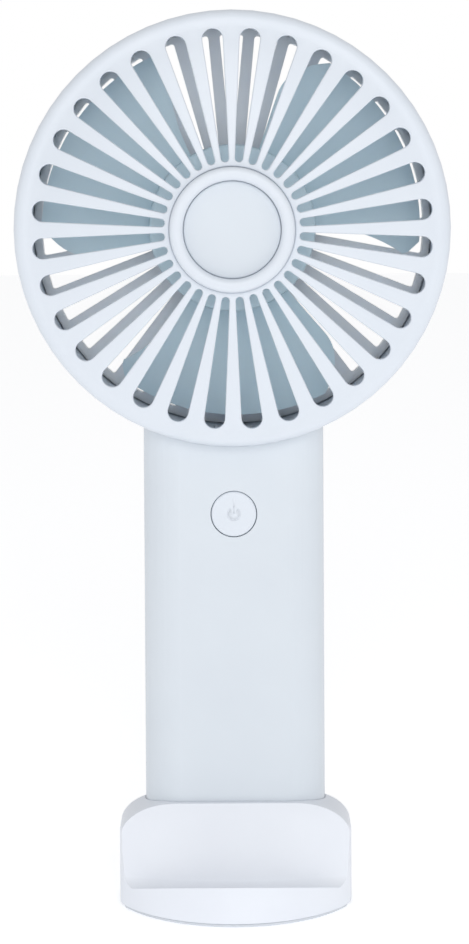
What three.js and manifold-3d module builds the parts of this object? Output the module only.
// Handheld fan in a phone-holder base, in millimetres. +Z is up and -Y is the front.
// The origin is on the floor, under the handle's own axis.
import * as THREE from "three";
import { mergeVertices } from "three/addons/utils/BufferGeometryUtils.js";
import Module from "manifold-3d";

// Fits that hold everywhere.
const seat = 0.3; // gap between pieces that are pressed, glued or screwed together
const running = 0.15; // radial gap round a turning shaft

// Base.
const padHeight = 1; // rubber foot
const padInset = 0.8; // rim of the base that stays uncovered
const baseSideWall = 5.8; // from the handle's side to the base's side
const baseRearWall = 6; // from the handle's back to the base's rear vertex
const baseArcExtra = 3.1; // plan arcs' radius over half of the base's width
const baseCornerRadius = 4;
const leastCorner = 0.8; // corner radius that a shrunk plan keeps
const cornerBlend = 0.8; // share of the corner radius that its curve takes on the side
const collarHeight = 23.4; // crown of the collar, in front of the handle
const shoulderDrop = 6; // from the collar's crown down to where its side wall begins
const shoulderReach = 12; // how far in from the wall the collar is still rounded
const shoulderFullness = 0.9; // how soon the shoulder leaves the wall; 1 is a quarter ellipse
const shoulderSteps = 6;
const collarWall = 1.4; // wall between the socket and the scoop, at the crown
const scoopSlope = 64; // degrees from the floor
const slopeBendRadius = 68; // curve of the back rest's foot, in plan
const slopeBendTop = 19; // height below which the back rest starts to curve
const slopeBendLow = 5; // height at which it has that curve
const ledgeHeight = 5.4; // where a phone's edge rests
const ledgeFillet = 2.6;
const ledgeDepth = 6.9;
const lipHeight = 3.8; // above the ledge, at its front
const lipFall = 17; // degrees, the lip's top down towards the back
const lipThickness = 2.4;
const socketFloor = 7.8;
const socketClearance = 0.4;
const recessDepth = 2.4; // recess under the base for its plate
const plateThickness = 1.8;
const baseRim = 2; // rim left round that recess
const baseScrewSpacing = 34;
const baseScrewLength = 4.6;
const baseScrewCover = 2.6; // material between a base screw's hole and the handle's bottom
const screwProud = 0.2; // how far the base screws' heads stand out of the plate

// Handle.
const handleWidth = 42;
const handleCornerRadius = 8.5;
const shellWall = 1.6;
const seam = 0.3; // parting gap between front and rear shells
const cellDiameter = 18.3;
const cellLength = 65.2;
const cellClearance = 0.25;
const cellBottom = 5; // above the handle's bottom
const tabThickness = 0.3;
const tabWidth = 6;
const padThickness = 2.6;
const padLength = 34;
const frontBossRadius = 2.6;
const rearBossRadius = 2.9;
const boardBossRadius = 2;
const lowerScrewHeight = 13;
const upperScrewDrop = 11; // below the head's lowest point
const handleScrewBite = 4.5; // how far the screws reach into the front shell
const screwHeadSunk = 0.5; // below the handle's back face

// Button and control board.
const buttonRise = 11.2; // from the cell's top to the button's centre
const buttonToHead = 16; // from there to the head's lowest point
const buttonRadius = 5.25;
const buttonGap = 0.22;
const buttonTravel = 0.6;
const buttonEdge = 0.5; // rounding of the cap's edge
const stemRadius = 2;
const stemLeast = 0.2; // shortest that the cap's stem may get
const buttonFlange = 1; // how far the hidden flange stands out, and its thickness
const boardWidth = 18;
const boardLength = 20;
const boardThickness = 1.2;
const boardDepth = 8.4; // from the handle's front face to the board
const boardScrewInset = 2.6; // from the board's edges
const boardScrewShare = 0.72; // size of the board's screws beside the others
const boardScrewLength = 5.4;
const switchSize = 6;
const switchHeight = 3;
const plungerRadius = 1.6;
const plungerStroke = 1;
const plungerRoot = 0.7; // how deep the plunger sits in the switch at rest
const inletWidth = 8.94;
const inletHeight = 3.16;
const inletWall = 0.3;
const inletFloor = 1; // thickness of the inlet's closed end
const inletSunk = 0.2; // its mouth below the handle's back face
const tongueMargin = 1.1; // from the inlet's ends to its tongue
const tongueThickness = 0.7;
const inletDrop = 4.4; // inlet's centre below the button's
const connectorDepth = 3.4;
const connectorHeight = 3.6;
const batteryPlugHeight = 11; // battery connector's centre above the board's lower edge
const motorPlugDrop = 3; // motor connector's centre below the board's upper edge

// Head.
const headRadius = 50;
const housingWall = 2.2;
const slotPlane = 17; // slots' outer ends, in front of the handle's middle
const domeRise = 5.5; // grille's bulge in front of that plane
const grilleThickness = 2;
const grilleSkirt = 12; // from the slot plane back to the grille's open edge
const rimBevel = 2.7;
const rimFlat = 1.6; // flat ring between bevel and slots
const slotCount = 32;
const slotAngle = 6.2; // degrees
const slotInner = 15.3;
const centreRecess = 1.6; // depth of the grille's middle, where ring and disc sit
const ringOuter = 14;
const ringInner = 11.1;
const ringHeight = 4.2;
const discHeight = 1.6;
const ribPlane = 13; // rear ribs' front faces, behind the handle's middle
const ribDepth = 3;
const ribCount = 34;
const ribWidth = 2.75;
const rearHubRadius = 17;
const rearRingWidth = 1.8;
const rearLip = 1.6; // thickness of the housing's turned-in rear edge
const rearEdge = 2.4; // rounding of that edge
const neckWidth = 22;
const neckReach = 7; // how far the neck enters the handle
const neckWall = 1.3;
const wireChannel = 9;

// Impeller and motor.
const hubRadius = 19.35;
const hubFront = 8; // in front of the handle's middle
const hubBack = 6; // behind it
const hubWall = 1.6;
const hubEdge = 1; // bevel round the hub's front face
const bladeCount = 3;
const bladeTipGap = 3.45; // from the tips to the housing's inner wall
const bladeThickness = 1.6;
const bladePitch = 9.5; // how far a blade's trailing edge stands in front of its leading edge
const bladeStart = 120; // degrees, leading edge of the first blade
const bladeSpan = 71; // degrees at the root
const bladeSweep = 12; // degrees that its edges lie further back at the tip than at the root
const bladeCamber = 2.2; // bulge of its middle
const bladeShift = 1.2; // its middle behind the handle's middle
const canWall = 1;
const magnetThickness = 1.8;
const airGap = 0.6;
const toothCount = 6;
const toothWidth = 3;
const shoeThickness = 1.5;
const coreRadius = 6.2;
const coreThickness = 5;
const coilThickness = 1.4;
const shaftRadius = 1.5;
const sleeveWall = 1.2;
const seatTubeWall = 0.9;
const motorFlange = 2.2;
const motorBoardThickness = 1;
const motorScrewInset = 5; // from the rear plate's edge to the screws' middles
const motorScrewLength = 7.4;
const bushRadius = 4;

// Screws.
const screwRadius = 1.1;
const screwHeadRadius = 2;
const screwHeadHeight = 1.2;
const leadRadius = 0.6;
const leadStep = 3; // length of each straight piece of a lead

// Sizes that follow from those above.
const degree = Math.PI / 180;
const handleDepth = cellDiameter + 2 * (cellClearance + shellWall);
const buttonHeight = cellBottom + cellLength + buttonRise; // above the handle's bottom
const handleLength = buttonHeight + buttonToHead; // from its bottom to the head's lowest point
const upperScrewHeight = handleLength - upperScrewDrop;
const handleBottom = padHeight + socketFloor;
const headHeight = handleBottom + handleLength + headRadius;
const baseHalfWidth = handleWidth / 2 + baseSideWall;
const baseArc = baseHalfWidth + baseArcExtra;
const scoopTop = -(handleDepth / 2 + socketClearance + collarWall);
const scoopRun = (collarHeight - ledgeHeight) / Math.tan(scoopSlope * degree);
const baseFront = scoopTop - scoopRun - ledgeDepth - lipThickness;
const baseRear = handleDepth / 2 + baseRearWall;
const slotOuter = headRadius - rimBevel - rimFlat;
const housingInner = headRadius - housingWall;
const grilleEdge = grilleSkirt - slotPlane;
const rearFace = ribPlane + ribDepth + seat + rearLip;
const rearRadius = housingInner - seat;
const tipRadius = housingInner - bladeTipGap;
const canRadius = hubRadius - hubWall - seat;
const magnetRadius = canRadius - canWall - seat;
const statorRadius = magnetRadius - magnetThickness - airGap;
const sleeveBore = shaftRadius + running;
const sleeveRadius = sleeveBore + sleeveWall;
const tubeBore = sleeveRadius + seat;
const tubeRadius = tubeBore + seatTubeWall;
const handleScrewX = cellDiameter / 2 + seat + rearBossRadius;
const handleFrontFace = -handleDepth / 2;
const boardFront = handleFrontFace + boardDepth;

const wasm = await Module();
wasm.setup();

// A closed geometry as a solid that can be joined and cut.
function solid(geometry) {
  const flat = geometry.index ? geometry.toNonIndexed() : geometry;
  const bare = new THREE.BufferGeometry();
  bare.setAttribute("position", flat.getAttribute("position"));
  const merged = mergeVertices(bare, 1e-4);
  return new wasm.Manifold(
    new wasm.Mesh({
      numProp: 3,
      vertProperties: merged.attributes.position.array,
      triVerts: new Uint32Array(merged.index.array),
    }),
  );
}

// The geometry of a joined or cut solid, with flat-shaded faces.
function geometryOf(manifold) {
  const mesh = manifold.getMesh();
  const geometry = new THREE.BufferGeometry();
  geometry.setAttribute("position", new THREE.BufferAttribute(mesh.vertProperties, 3));
  geometry.setIndex(new THREE.BufferAttribute(mesh.triVerts, 1));
  const faceted = geometry.toNonIndexed();
  faceted.computeVertexNormals();
  return faceted;
}

function joined(first, ...others) {
  return others.reduce((whole, other) => whole.add(other), first);
}

function cut(first, ...others) {
  return others.reduce((whole, other) => whole.subtract(other), first);
}

// A box from its lowest to its highest corner.
function block(x0, x1, y0, y1, z0, z1) {
  const box = new THREE.BoxGeometry(x1 - x0, y1 - y0, z1 - z0);
  return box.translate((x0 + x1) / 2, (y0 + y1) / 2, (z0 + z1) / 2);
}

// A cylinder along Y from y0 to y1, centred on x and z.
function rod(radius, y0, y1, x = 0, z = 0, sides = 20) {
  const cylinder = new THREE.CylinderGeometry(radius, radius, y1 - y0, sides);
  return cylinder.translate(x, (y0 + y1) / 2, z);
}

// A cylinder along Z.
function post(radius, z0, z1, x = 0, y = 0, sides = 20) {
  const cylinder = new THREE.CylinderGeometry(radius, radius, z1 - z0, sides);
  return cylinder.rotateX(Math.PI / 2).translate(x, y, (z0 + z1) / 2);
}

// A path or a list of [radius, y] pairs turned about the Y axis. The outline runs so that its
// solid is on its left.
function turned(outline, segments = 20, divisions = 2) {
  const points = outline.getPoints
    ? outline.getPoints(divisions)
    : outline.map(([radius, y]) => new THREE.Vector2(radius, y));
  return new THREE.LatheGeometry(points, segments);
}

// A plain tube along Y.
function tube(inner, outer, y0, y1, segments = 20) {
  return turned([[inner, y0], [outer, y0], [outer, y1], [inner, y1], [inner, y0]], segments);
}

function extruded(shape, depth, curveSegments = 4) {
  return new THREE.ExtrudeGeometry(shape, { depth, bevelEnabled: false, curveSegments });
}

// A shape drawn in (y, z) and extruded along X, centred on x = 0.
function acrossX(shape, width, curveSegments) {
  const turn = new THREE.Matrix4().makeBasis(
    new THREE.Vector3(0, 1, 0),
    new THREE.Vector3(0, 0, 1),
    new THREE.Vector3(1, 0, 0),
  );
  return extruded(shape, width, curveSegments).translate(0, 0, -width / 2).applyMatrix4(turn);
}

// A shape drawn in (x, z) and extruded along Y from y0 to y1.
function acrossY(shape, y0, y1, curveSegments) {
  return extruded(shape, y1 - y0, curveSegments).rotateX(Math.PI / 2).translate(0, y1, 0);
}

function roundedRectangle(width, height, radius) {
  const x = width / 2 - radius;
  const y = height / 2 - radius;
  const shape = new THREE.Shape();
  shape.absarc(x, y, radius, 0, Math.PI / 2);
  shape.absarc(-x, y, radius, Math.PI / 2, Math.PI);
  shape.absarc(-x, -y, radius, Math.PI, 1.5 * Math.PI);
  shape.absarc(x, -y, radius, 1.5 * Math.PI, 2 * Math.PI);
  shape.closePath();
  return shape;
}

// Turned copies of one solid about the Y axis, counted anticlockwise as seen from the front.
function aroundHead(count, firstDegrees, make) {
  return Array.from({ length: count }, (_, i) => {
    const angle = (firstDegrees + (360 * i) / count) * degree;
    return solid(make().rotateY(-angle));
  });
}

// A screw along Y whose head's outer face is at headY and whose tip points to the front.
function screwAlongY(headY, length) {
  const neckY = headY - screwHeadHeight;
  return turned(
    [[0, headY - length], [screwRadius, headY - length], [screwRadius, neckY],
      [screwHeadRadius, neckY], [screwHeadRadius, headY], [0, headY]],
    10,
  );
}

const fan = new THREE.Group();
const base = new THREE.Group();
const handle = new THREE.Group();
const head = new THREE.Group();
handle.position.z = handleBottom;
head.position.z = headHeight;
fan.add(base, handle, head);

function place(group, name, shape, material, x = 0, y = 0, z = 0) {
  const geometry = shape.getMesh ? geometryOf(shape) : shape;
  const mesh = new THREE.Mesh(geometry, material);
  mesh.name = name;
  mesh.position.set(x, y, z);
  group.add(mesh);
}

function finish(color, roughness, metalness = 0) {
  return new THREE.MeshStandardMaterial({ color, roughness, metalness });
}

const shellPlastic = finish("#e9edf4", 0.42);
const basePlastic = finish("#eef2f7", 0.48);
const impellerPlastic = finish("#c2dce4", 0.38);
const darkPlastic = finish("#2b2d31", 0.55);
const rubber = finish("#d9dde2", 0.85);
const steel = finish("#b9bcc0", 0.35, 1);
const laminations = finish("#7d8085", 0.5, 1);
const magnet = finish("#3a3b3e", 0.6, 0.4);
const brass = finish("#c8a45c", 0.35, 1);
const copper = finish("#b8693a", 0.4, 1);
const circuitBoard = finish("#1f6b45", 0.5);
const nickel = finish("#c9c8c2", 0.3, 1);
const cellWrap = finish("#3f8fc4", 0.35);
const foam = finish("#4a4c50", 0.95);

// --- Base ---------------------------------------------------------------------------------

// The base's plan: two shallow arcs, meeting flat sides through rounded corners.
function basePlan(inset) {
  const radius = baseArc - inset;
  const half = baseHalfWidth - inset;
  const frontCentre = baseFront + inset + radius;
  const rearCentre = baseRear - inset - radius;
  const cornerX = half - Math.max(baseCornerRadius - inset, leastCorner);
  const arcAngle = Math.acos(cornerX / radius);
  const sideRise = Math.sqrt(radius * radius - half * half);
  const sideLength = rearCentre - frontCentre + 2 * sideRise;
  const round = Math.min(baseCornerRadius * cornerBlend, sideLength / 2);
  const shape = new THREE.Shape();
  shape.absarc(0, rearCentre, radius, arcAngle, Math.PI - arcAngle);
  shape.quadraticCurveTo(-half, rearCentre + sideRise, -half, rearCentre + sideRise - round);
  shape.lineTo(-half, frontCentre - sideRise + round);
  const frontLeft = frontCentre - radius * Math.sin(arcAngle);
  shape.quadraticCurveTo(-half, frontCentre - sideRise, -cornerX, frontLeft);
  shape.absarc(0, frontCentre, radius, Math.PI + arcAngle, 2 * Math.PI - arcAngle);
  shape.quadraticCurveTo(half, frontCentre - sideRise, half, frontCentre - sideRise + round);
  shape.lineTo(half, rearCentre + sideRise - round);
  shape.quadraticCurveTo(
    half, rearCentre + sideRise, cornerX, rearCentre + radius * Math.sin(arcAngle));
  return shape;
}

function baseSlab(inset, z0, z1, curveSegments) {
  return solid(extruded(basePlan(inset), z1 - z0, curveSegments).translate(0, 0, z0));
}

// The base before it is hollowed: straight walls and a rounded shoulder up to the collar's crown.
function collarBlock() {
  const slabs = Array.from({ length: shoulderSteps + 1 }, (_, i) => {
    const turn = (i * Math.PI) / (2 * shoulderSteps);
    const inset = shoulderReach * (1 - Math.cos(turn)) ** shoulderFullness;
    const top = collarHeight - shoulderDrop * (1 - Math.sin(turn));
    return baseSlab(inset, padHeight, top, 8);
  });
  return wasm.Manifold.hull(slabs);
}

// What stands behind the back rest. Its foot ends in a soft fillet and curves back at the sides,
// along with the base's front.
function restSolid() {
  const above = 2 * collarHeight;
  const slope = Math.tan(scoopSlope * degree);
  const heel = scoopTop - scoopRun;
  const onSlope = (z) => heel + (z - ledgeHeight) / slope;
  const shape = new THREE.Shape();
  shape.moveTo(onSlope(above), above);
  shape.lineTo(onSlope(slopeBendTop), slopeBendTop);
  shape.lineTo(onSlope(ledgeHeight + ledgeFillet), ledgeHeight + ledgeFillet);
  shape.quadraticCurveTo(heel, ledgeHeight, heel - ledgeFillet, ledgeHeight);
  shape.lineTo(heel - ledgeFillet, padHeight);
  shape.lineTo(2 * baseRear, padHeight);
  shape.lineTo(2 * baseRear, above);
  shape.closePath();
  const width = 2.4 * baseHalfWidth;
  const turn = new THREE.Matrix4().makeBasis(
    new THREE.Vector3(0, 1, 0), new THREE.Vector3(0, 0, 1), new THREE.Vector3(1, 0, 0));
  const bent = new THREE.ExtrudeGeometry(shape,
    { depth: width, bevelEnabled: false, curveSegments: 4, steps: 24 });
  bent.translate(0, 0, -width / 2).applyMatrix4(turn);
  const corners = bent.getAttribute("position");
  for (let i = 0; i < corners.count; i += 1) {
    if (corners.getY(i) < baseRear) {
      const share = Math.max(slopeBendTop - corners.getZ(i), 0) / (slopeBendTop - slopeBendLow);
      corners.setY(i, corners.getY(i) + (share * corners.getX(i) ** 2) / (2 * slopeBendRadius));
    }
  }
  return solid(bent);
}

// The lip: a band along the base's front wall, whose top falls towards the back.
function lipBand() {
  const top = ledgeHeight + lipHeight;
  const band = cut(baseSlab(0, padHeight, baseTop, 8), baseSlab(lipThickness, 0, 2 * baseTop, 8));
  const over = block(-2 * baseHalfWidth, 2 * baseHalfWidth, -baseTop, 4 * baseTop, 0, baseTop)
    .rotateX(-lipFall * degree).translate(0, baseFront, top);
  return cut(band, solid(over));
}

const baseTop = 2 * collarHeight;
const baseMiddleY = (baseFront + baseRear) / 2;

function baseBody() {
  const section = roundedRectangle(
    handleWidth + 2 * socketClearance,
    handleDepth + 2 * socketClearance,
    handleCornerRadius + socketClearance,
  );
  const socketBottom = handleBottom - seat;
  const socket = solid(extruded(section, baseTop).translate(0, 0, socketBottom));
  const recess = baseSlab(baseRim, 0, padHeight + recessDepth, 6);
  const screwHoles = [-1, 1].map((side) =>
    solid(post(screwRadius + seat, 0, handleBottom - baseScrewCover, (side * baseScrewSpacing) / 2,
      baseMiddleY, 12)));
  const front = joined(restSolid(), lipBand(), baseSlab(0, padHeight, ledgeHeight, 8));
  return cut(collarBlock().intersect(front), socket, recess, ...screwHoles);
}

const plateTop = padHeight + recessDepth - seat;
const plateBottom = plateTop - plateThickness;

function basePlate() {
  const holes = [-1, 1].map((side) => (side * baseScrewSpacing) / 2).flatMap((x) => [
    solid(post(screwRadius + seat, 0, handleBottom, x, baseMiddleY, 12)),
    solid(post(screwHeadRadius + seat, 0, plateBottom + screwHeadHeight - screwProud + seat,
      x, baseMiddleY, 12)),
  ]);
  return cut(baseSlab(baseRim + seat, plateBottom, plateTop, 6), ...holes);
}

place(base, "base_body", baseBody(), basePlastic);
place(base, "base_plate", basePlate(), basePlastic);
place(base, "foot_pad", baseSlab(padInset, 0, padHeight - seat, 6), rubber);
[["base_screw_left", -1], ["base_screw_right", 1]].forEach(([name, side]) => {
  const shape = screwAlongY(0, baseScrewLength).rotateX(-Math.PI / 2);
  place(base, name, shape, steel, (side * baseScrewSpacing) / 2, baseMiddleY, plateBottom - screwProud);
});

// --- Handle -------------------------------------------------------------------------------

// A block of the handle's section, grown or shrunk, from z0 to z1.
function handleBlock(grow, z0, z1) {
  const section = roundedRectangle(
    handleWidth + 2 * grow,
    handleDepth + 2 * grow,
    handleCornerRadius + grow,
  );
  return solid(extruded(section, z1 - z0).translate(0, 0, z0));
}

const headCentre = handleLength + headRadius; // above the handle's bottom
const handleTop = headCentre - Math.sqrt(headRadius ** 2 - (handleWidth / 2) ** 2) + 2;

// The handle's two shells before they are parted: hollow, and hollowed at the top to the head.
function handleTube() {
  const inside = handleBlock(-shellWall, shellWall, handleTop + 2);
  const headSpace = solid(rod(headRadius + seat, -handleDepth, handleDepth, 0, headCentre, 64));
  return cut(handleBlock(0, 0, handleTop), inside, headSpace);
}

// Screw bosses, kept inside the walls that they grow from.
function bossesInside(bosses) {
  return joined(...bosses).intersect(handleBlock(-shellWall / 2, 0, handleTop));
}

const screwPlaces = [
  [-handleScrewX, lowerScrewHeight],
  [handleScrewX, lowerScrewHeight],
  [-handleScrewX, upperScrewHeight],
  [handleScrewX, upperScrewHeight],
];
const screwHeadFace = handleDepth / 2 - screwHeadSunk;

function frontShell() {
  const half = solid(block(-handleWidth, handleWidth, -handleDepth, -seam / 2, -1, 2 * handleLength));
  const boardBossTop = boardFront - seat;
  const bosses = screwPlaces.map(([x, z]) =>
    solid(rod(frontBossRadius, handleFrontFace + shellWall / 2, -seam / 2, x, z, 12)));
  const boardBosses = boardScrewPlaces.map(([x, z]) =>
    solid(rod(boardBossRadius, handleFrontFace + shellWall / 2, boardBossTop, x, z, 12)));
  const screwHoles = screwPlaces.map(([x, z]) =>
    solid(rod(screwRadius + seat, -handleScrewBite - 1, handleDepth, x, z, 12)));
  const boardHoles = boardScrewPlaces.map(([x, z]) =>
    solid(rod(screwRadius * boardScrewShare + seat, handleFrontFace + shellWall, handleDepth, x, z, 12)));
  const buttonHole = solid(
    rod(buttonRadius + buttonGap, -handleDepth, 0, 0, buttonHeight, 32));
  const shell = joined(handleTube().intersect(half), bossesInside([...bosses, ...boardBosses]));
  return cut(shell, buttonHole, ...screwHoles, ...boardHoles);
}

const boardBottom = buttonHeight - boardLength / 2;
const boardTop = buttonHeight + boardLength / 2;
const boardScrewPlaces = [-1, 1].map((side) => [side * (boardWidth / 2 - boardScrewInset), boardTop - boardScrewInset]);
const inletCentre = buttonHeight - inletDrop;

function stadium(width, height) {
  return roundedRectangle(width, height, height / 2 - 0.01);
}

function rearShell() {
  const half = solid(block(-handleWidth, handleWidth, seam / 2, handleDepth, -1, 2 * handleLength));
  const bosses = screwPlaces.map(([x, z]) =>
    solid(rod(rearBossRadius, seam / 2, handleDepth / 2 - shellWall / 2, x, z, 12)));
  const holes = screwPlaces.flatMap(([x, z]) => [
    solid(rod(screwRadius + seat, -1, handleDepth, x, z, 12)),
    solid(rod(screwHeadRadius + seat, screwHeadFace - screwHeadHeight - seat, handleDepth,
      x, z, 12)),
  ]);
  const inlet = solid(
    acrossY(stadium(inletWidth + 2 * seat, inletHeight + 2 * seat), 0, handleDepth)
      .translate(0, 0, inletCentre));
  return cut(joined(handleTube().intersect(half), bossesInside(bosses)), inlet, ...holes);
}

place(handle, "handle_front_shell", frontShell(), shellPlastic);
place(handle, "handle_rear_shell", rearShell(), shellPlastic);
screwPlaces.forEach(([x, z], i) => {
  place(handle, "handle_screw_" + (i + 1), screwAlongY(screwHeadFace, screwHeadFace + handleScrewBite), steel, x, 0, z);
});

// Cell with its tabs, and a foam pad on each side of it.
const cellTop = cellBottom + cellLength;
const cellRadius = cellDiameter / 2;
place(handle, "battery_cell", post(cellRadius, cellBottom, cellTop), cellWrap);
const tabHalf = tabWidth / 2;
[["battery_tab_minus", cellBottom - seat - tabThickness], ["battery_tab_plus", cellTop + seat]]
  .forEach(([name, z]) => {
    place(handle, name, block(-tabHalf, tabHalf, -tabHalf, tabHalf, z, z + tabThickness), nickel);
  });
const padMiddle = (cellBottom + cellTop) / 2;
[["battery_pad_left", -1], ["battery_pad_right", 1]].forEach(([name, side]) => {
  const pad = block(-padThickness / 2, padThickness / 2, -tabWidth, tabWidth,
    -padLength / 2, padLength / 2);
  const x = side * (cellRadius + seat + padThickness / 2);
  place(handle, name, pad, foam, x, 0, padMiddle);
});

// Button, switch and control board.
const flangeRadius = buttonRadius + buttonFlange;
const flangeFront = handleFrontFace + shellWall + seat;
const flangeBack = flangeFront + buttonFlange;
const switchBack = boardFront - seat;
const switchFront = switchBack - switchHeight;
const stemEnd = Math.max(switchFront - plungerStroke - seat, flangeBack + stemLeast);
const buttonProfile = new THREE.Path()
  .moveTo(0, handleFrontFace)
  .lineTo(buttonRadius - buttonEdge, handleFrontFace)
  .quadraticCurveTo(buttonRadius, handleFrontFace, buttonRadius, handleFrontFace + buttonEdge)
  .lineTo(buttonRadius, flangeFront)
  .lineTo(flangeRadius, flangeFront)
  .lineTo(flangeRadius, flangeBack)
  .lineTo(stemRadius, flangeBack)
  .lineTo(stemRadius, stemEnd)
  .lineTo(0, stemEnd);
place(handle, "button_cap", turned(buttonProfile, 32), shellPlastic, 0, 0, buttonHeight);
place(handle, "switch_plunger",
  rod(plungerRadius, stemEnd + seat, switchFront + plungerRoot), darkPlastic, 0, 0, buttonHeight);
const switchHalf = switchSize / 2;
const switchWell = rod(plungerRadius + seat, switchFront - 1, switchFront + plungerRoot + 0.2 + buttonTravel);
const switchBody = block(-switchHalf, switchHalf, switchFront, switchBack, -switchHalf, switchHalf);
place(handle, "tact_switch", cut(solid(switchBody), solid(switchWell)), darkPlastic,
  0, 0, buttonHeight);

const boardBack = boardFront + boardThickness;
const boardHoles = boardScrewPlaces.map(([x, z]) =>
  solid(rod(screwRadius * boardScrewShare + seat, boardFront - 1, boardBack + 1, x, z, 12)));
const boardHalf = boardWidth / 2;
place(handle, "control_board",
  cut(solid(block(-boardHalf, boardHalf, boardFront, boardBack, boardBottom, boardTop)),
    ...boardHoles),
  circuitBoard);
[["board_screw_left", 0], ["board_screw_right", 1]].forEach(([name, i]) => {
  const [x, z] = boardScrewPlaces[i];
  const headY = boardBack + seat + screwHeadHeight;
  const shape = screwAlongY(headY, boardScrewLength).scale(boardScrewShare, 1, boardScrewShare);
  place(handle, name, shape, steel, x, 0, z);
});

// Parts soldered on the back of the board: [name, x, height above the board's bottom, size].
const partFace = boardBack + seat;
const inletLow = inletCentre - inletHeight / 2;
[
  ["charge_chip", -5.6, 2.4, [3.6, 1.2, 3.6], darkPlastic],
  ["control_chip", 0, 2, [3.6, 1.2, 2.6], darkPlastic],
  ["inductor", -6, 11, [4.4, 2.4, 4.4], laminations],
  ["battery_connector", 6.2, batteryPlugHeight, [5, connectorDepth, connectorHeight], rubber],
  ["motor_connector", 0, boardLength - motorPlugDrop, [6, connectorDepth, connectorHeight], rubber],
].forEach(([name, x, height, [wide, deep, tall], material]) => {
  const part = block(-wide / 2, wide / 2, partFace, partFace + deep, -tall / 2, tall / 2);
  place(handle, name, part, material, x, 0, boardBottom + height);
});

// Charging inlet: a flat metal sleeve with a tongue, open at the handle's back.
const inletBack = partFace;
const inletMouth = handleDepth / 2 - inletSunk;
const sleeve = cut(
  solid(acrossY(stadium(inletWidth, inletHeight), inletBack, inletMouth)),
  solid(acrossY(stadium(inletWidth - 2 * inletWall, inletHeight - 2 * inletWall),
    inletBack + inletFloor, inletMouth + 1)));
place(handle, "usb_socket", sleeve, nickel, 0, 0, inletCentre);
const tongueHalf = inletWidth / 2 - tongueMargin;
place(handle, "usb_tongue",
  block(-tongueHalf, tongueHalf, inletBack + inletFloor + seat, inletMouth - 1,
    -tongueThickness / 2, tongueThickness / 2),
  darkPlastic, 0, 0, inletCentre);

// --- Head ---------------------------------------------------------------------------------

// A slot with straight radial sides and round ends, drawn along +X.
function slotShape(inner, outer) {
  const half = (slotAngle / 2) * degree;
  const outerCentre = outer / (1 + Math.sin(half));
  const innerCentre = inner / (1 - Math.sin(half));
  const right = Math.PI / 2 + half;
  const shape = new THREE.Shape();
  shape.absarc(outerCentre, 0, outerCentre * Math.sin(half), -right, right);
  shape.absarc(innerCentre, 0, innerCentre * Math.sin(half), right, 2 * Math.PI - right);
  shape.closePath();
  return shape;
}

function frontGrille() {
  const back = grilleThickness;
  const domeTop = -slotPlane - domeRise;
  const recess = domeTop + centreRecess;
  const recessRadius = ringOuter + seat;
  const bend = (slotInner + slotOuter) / 2 + 4;
  const profile = new THREE.Path()
    .moveTo(0, recess)
    .lineTo(recessRadius, recess)
    .lineTo(recessRadius, domeTop)
    .lineTo(slotInner, domeTop + 0.1)
    .quadraticCurveTo(bend, domeTop + 1.4, slotOuter, -slotPlane)
    .lineTo(headRadius - rimBevel, -slotPlane)
    .quadraticCurveTo(headRadius, -slotPlane, headRadius, -slotPlane + 1.3 * rimBevel)
    .lineTo(headRadius, grilleEdge)
    .lineTo(housingInner, grilleEdge)
    .lineTo(housingInner, -slotPlane + back + 1.3)
    .lineTo(slotOuter + 0.6, -slotPlane + back)
    .lineTo(slotOuter, -slotPlane + back)
    .quadraticCurveTo(bend, domeTop + 1.4 + back, slotInner, domeTop + 0.1 + back + 0.4)
    .lineTo(0, recess + back);
  const slots = aroundHead(slotCount, 180 / slotCount, () =>
    acrossY(slotShape(slotInner, slotOuter), domeTop - 5, 0, 3));
  return cut(solid(turned(profile, 64)), ...slots);
}

place(head, "front_grille", frontGrille(), shellPlastic);

const ringBack = -slotPlane - domeRise + centreRecess - seat;
const ringFront = ringBack - ringHeight;
const ringMiddle = (ringInner + ringOuter) / 2;
const ringProfile = new THREE.Path()
  .moveTo(ringInner, ringBack)
  .lineTo(ringInner, ringFront + 1.4)
  .quadraticCurveTo(ringInner, ringFront, ringMiddle, ringFront)
  .quadraticCurveTo(ringOuter, ringFront, ringOuter, ringFront + 1.6)
  .lineTo(ringOuter, ringBack)
  .lineTo(ringInner, ringBack);
place(head, "centre_ring", turned(ringProfile, 36), shellPlastic);
place(head, "centre_disc", rod(ringInner - seat, ringBack - discHeight, ringBack, 0, 0, 36),
  shellPlastic);

// Housing: a drum with a turned-in rear edge, and a neck that enters the handle.
const neckFront = partFace + connectorDepth + 1.5;
const neckBack = handleDepth / 2 - shellWall - seat;
const neckMiddle = (neckFront + neckBack) / 2;

function headHousing() {
  const front = grilleEdge + seat;
  const lipInner = rearRadius - rearRingWidth + 0.6;
  const profile = new THREE.Path()
    .moveTo(housingInner, front)
    .lineTo(headRadius, front)
    .lineTo(headRadius, rearFace - rearEdge)
    .quadraticCurveTo(headRadius, rearFace, headRadius - rearEdge, rearFace)
    .lineTo(lipInner, rearFace)
    .lineTo(lipInner, rearFace - rearLip)
    .lineTo(housingInner, rearFace - rearLip)
    .lineTo(housingInner, front);
  const neck = solid(block(-neckWidth / 2, neckWidth / 2, neckFront, neckBack,
    -headRadius - neckReach, -headRadius + housingWall / 2));
  const bore = solid(rod(housingInner, -slotPlane, ribPlane, 0, 0, 64));
  const half = wireChannel / 2;
  const channel = solid(block(-half, half, neckFront + neckWall, neckBack - neckWall,
    -headRadius - neckReach - 1, -headRadius + 2 * housingWall));
  return cut(joined(solid(turned(profile, 64)), cut(neck, bore)), channel);
}

place(head, "head_housing", headHousing(), shellPlastic);

// Rear grille: a rim, a centre plate and straight radial ribs, closed over the neck.
const motorScrewRing = rearHubRadius - motorScrewInset;

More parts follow.
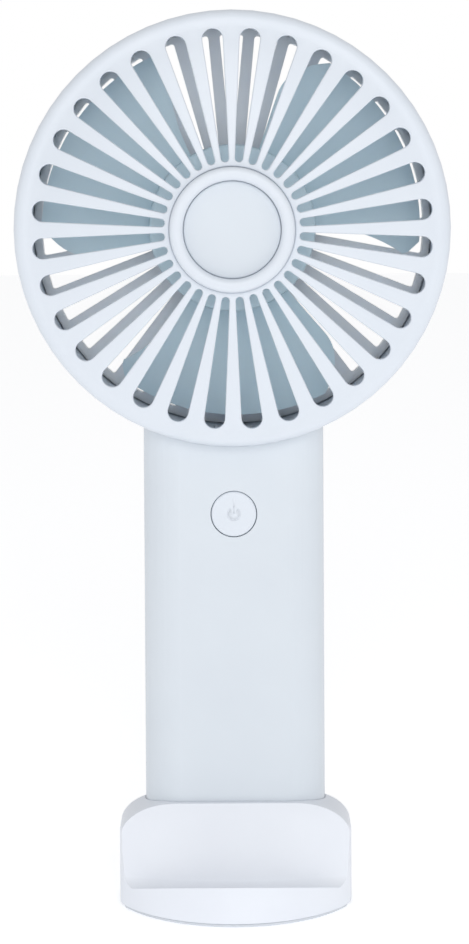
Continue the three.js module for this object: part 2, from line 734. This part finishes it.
function rearGrille() {
  const back = ribPlane + ribDepth;
  const plate = solid(turned([[0, ribPlane], [rearHubRadius, ribPlane], [rearHubRadius, back],
    [0, back]], 34));
  const rim = solid(tube(rearRadius - rearRingWidth, rearRadius, ribPlane, back, 68));
  const ribs = aroundHead(ribCount, 0, () =>
    block(rearHubRadius - 1, rearRadius - 1, ribPlane, back, -ribWidth / 2, ribWidth / 2));
  const closed = solid(block(-neckWidth / 3, neckWidth / 3, ribPlane, back,
    -rearRadius + 1, -rearHubRadius + 1));
  const holes = aroundHead(3, 90, () => rod(screwRadius + seat, 0, 2 * back, motorScrewRing, 0, 12));
  return cut(joined(plate, rim, closed, ...ribs), ...holes);
}

place(head, "rear_grille", rearGrille(), shellPlastic);

// --- Motor --------------------------------------------------------------------------------

const hubFace = -hubFront;
const canFront = hubFace + hubWall + seat;
const canBack = hubBack - 1.5;
const coreFront = -coreThickness / 2;
const coreBack = coreThickness / 2;
const coilBack = coreBack + seat + coilThickness;
const seatBack = ribPlane - seat;
const sleeveFront = coreFront + 0.4;

function motorSeat() {
  const flangeFace = seatBack - motorFlange;
  const body = turned([[tubeBore, coreFront + 0.6], [tubeRadius, coreFront + 0.6],
    [tubeRadius, flangeFace], [rearHubRadius - 2, flangeFace], [rearHubRadius - 2, seatBack],
    [tubeBore, seatBack], [tubeBore, coreFront + 0.6]]);
  const holes = aroundHead(3, 90, () => rod(screwRadius + seat, 0, 2 * seatBack, motorScrewRing, 0, 12));
  return cut(solid(body), ...holes);
}

place(head, "motor_seat", motorSeat(), nickel);
place(head, "bearing_sleeve", tube(sleeveBore, sleeveRadius, sleeveFront, seatBack - 1), brass);
for (let i = 0; i < 3; i += 1) {
  const angle = (90 + 120 * i) * degree;
  const headY = ribPlane + ribDepth + seat + screwHeadHeight;
  place(head, "motor_screw_" + (i + 1), screwAlongY(headY, motorScrewLength), steel,
    motorScrewRing * Math.cos(angle), 0, motorScrewRing * Math.sin(angle));
}

// Stator: an inner ring and a slotted outer ring, joined by teeth that carry the coils.
const coreBore = tubeRadius + seat;
const shoeInner = statorRadius - shoeThickness;
const toothAngles = Array.from({ length: toothCount }, (_, i) => (360 * i) / toothCount);

function statorCore() {
  const hubRing = solid(tube(coreBore, Math.max(coreRadius, coreBore + 1), coreFront, coreBack));
  const shoes = solid(tube(shoeInner, statorRadius, coreFront, coreBack, 36));
  const teeth = aroundHead(toothCount, 0, () =>
    block(coreBore + 0.5, shoeInner + 0.8, coreFront, coreBack, -toothWidth / 2, toothWidth / 2));
  const openings = aroundHead(toothCount, 180 / toothCount, () =>
    block(shoeInner - 1, statorRadius + 1, coreFront - 1, coreBack + 1, -1, 1));
  return cut(joined(hubRing, shoes, ...teeth), ...openings);
}

place(head, "stator_core", statorCore(), laminations);

function coil() {
  const inner = Math.max(coreRadius, coreBore + 1) + seat + 0.4;
  const halfTooth = toothWidth / 2 + seat;
  const halfCore = coreThickness / 2 + seat;
  const halfWide = halfTooth + coilThickness * 0.6;
  const outer = Math.sqrt((shoeInner - seat) ** 2 - halfWide ** 2);
  const winding = solid(block(inner, outer, -halfCore - coilThickness, halfCore + coilThickness,
    -halfWide, halfWide));
  return cut(winding, solid(block(0, 2 * outer, -halfCore, halfCore, -halfTooth, halfTooth)));
}

toothAngles.forEach((angle, i) => {
  const shape = geometryOf(coil()).rotateY(-angle * degree);
  place(head, "coil_" + (i + 1), shape, copper);
});
const motorBoardFront = coilBack + 2 * seat;
place(head, "motor_board",
  tube(coreBore, statorRadius - 1, motorBoardFront, motorBoardFront + motorBoardThickness),
  circuitBoard);

// Rotor: the impeller with its steel can, magnet, bush and shaft.
const canTube = turned([[bushRadius + seat, canFront], [canRadius, canFront], [canRadius, canBack],
  [canRadius - canWall, canBack], [canRadius - canWall, canFront + canWall],
  [bushRadius + seat, canFront + canWall], [bushRadius + seat, canFront]], 36);
place(head, "rotor_can", canTube, steel);
place(head, "magnet_ring",
  tube(magnetRadius - magnetThickness, magnetRadius, canFront + canWall + seat, canBack - 0.4, 36),
  magnet);
const bushBack = sleeveFront - seat;
place(head, "hub_bush", tube(shaftRadius + seat, bushRadius, canFront, bushBack), brass);
place(head, "motor_shaft", rod(shaftRadius, canFront + seat, seatBack - 1.6), steel);

// A blade is a box bent into polar shape: its leading edge lies deeper and is swept back near the
// root, and its trailing edge is cut back towards the tip.
function blade() {
  const root = hubRadius - hubWall / 2;
  const reach = tipRadius - root;
  const shape = new THREE.BoxGeometry(1, 1, 1, 6, 1, 5);
  const corners = shape.getAttribute("position");
  for (let i = 0; i < corners.count; i += 1) {
    const along = corners.getX(i) + 0.5;
    const outward = corners.getZ(i) + 0.5;
    const tip = Math.max(outward - 0.55, 0) / 0.45;
    const lead = -bladeSweep * outward ** 1.6 + 7 * Math.max(outward - 0.88, 0) / 0.12;
    const trail = bladeSpan - bladeSweep * tip ** 2;
    const angle = (lead + (trail - lead) * along) * degree;
    const radius = root + reach * outward;
    const lift = bladePitch * (0.5 - along) + bladeCamber * Math.sin(Math.PI * along);
    const y = lift + bladeShift - bladeThickness * corners.getY(i);
    corners.setXYZ(i, radius * Math.cos(angle), y, radius * Math.sin(angle));
  }
  return shape;
}

function impeller() {
  const inner = hubRadius - hubWall;
  const hub = turned([[0, hubFace], [hubRadius - hubEdge, hubFace], [hubRadius, hubFace + hubEdge],
    [hubRadius, hubBack], [inner, hubBack], [inner, hubFace + hubWall], [0, hubFace + hubWall]],
    36);
  return joined(solid(hub), ...aroundHead(bladeCount, bladeStart, blade));
}

place(head, "impeller", impeller(), impellerPlastic);

// --- Leads --------------------------------------------------------------------------------

// A round lead through chosen points.
function lead(points) {
  const route = new THREE.CatmullRomCurve3(points.map((point) => new THREE.Vector3(...point)));
  const section = new THREE.Shape();
  section.absarc(0, 0, leadRadius, 0, 2 * Math.PI);
  return new THREE.ExtrudeGeometry(section, {
    steps: Math.ceil(route.getLength() / leadStep),
    curveSegments: 6,
    bevelEnabled: false,
    extrudePath: route,
  });
}

// Motor leads: from the motor board, behind the blades, down the neck to the control board.
const leadPlane = (hubBack + seatBack) / 2 + 0.6;
const plugLevel = -headRadius - (handleLength - boardTop) - motorPlugDrop;
const plugBack = partFace + connectorDepth;
[["motor_lead_red", 1.4, "#b3312c"], ["motor_lead_black", -1.4, "#26272a"]]
  .forEach(([name, x, color]) => {
    const route = lead([
      [x, leadPlane - 1.6, -statorRadius + 2.2],
      [x, leadPlane, -rearHubRadius - 3],
      [x, leadPlane, -housingInner + 10],
      [x, (leadPlane + neckMiddle) / 2, -housingInner + 4],
      [x, neckMiddle, -housingInner],
      [x, neckMiddle, -headRadius - neckReach],
      [x, plugBack + 2.4, plugLevel - 0.4],
      [x, plugBack + seat, plugLevel - 0.6],
    ]);
    place(head, name, route, finish(color, 0.5));
  });

// Battery leads: from the two tabs to the board's connector, the lower one up beside the cell.
const plugBottom = boardBottom + batteryPlugHeight - connectorHeight / 2 - seat - leadRadius;
const overTab = cellTop + 2 * seat + tabThickness + leadRadius;
const underTab = cellBottom - 2 * seat - tabThickness - leadRadius;
const besideBoss = (handleScrewX + rearBossRadius + handleWidth / 2 - shellWall) / 2;
const plugMiddle = partFace + connectorDepth / 2;
const redRoute = [
  [2, 3, overTab],
  [4.6, 3, overTab + 0.4],
  [5.9, 1.9, overTab + 3.4],
  [5.8, plugMiddle, plugBottom],
];
const blackRoute = [
  [2, 0, underTab],
  [10, 0, underTab],
  [besideBoss - 1.2, 0, cellBottom + 0.6],
  [besideBoss, 0, cellBottom + 5],
  [besideBoss, 0, padMiddle - padLength / 2],
  [besideBoss, 0, padMiddle + padLength / 2],
  [besideBoss, 0, cellTop - 4],
  [cellRadius + 1.6, 1, cellTop + 1.6],
  [8, 1.9, overTab + 4],
  [7.5, plugMiddle, plugBottom],
];
place(handle, "battery_lead_red", lead(redRoute), finish("#b3312c", 0.5));
place(handle, "battery_lead_black", lead(blackRoute), finish("#26272a", 0.5));

export default fan;
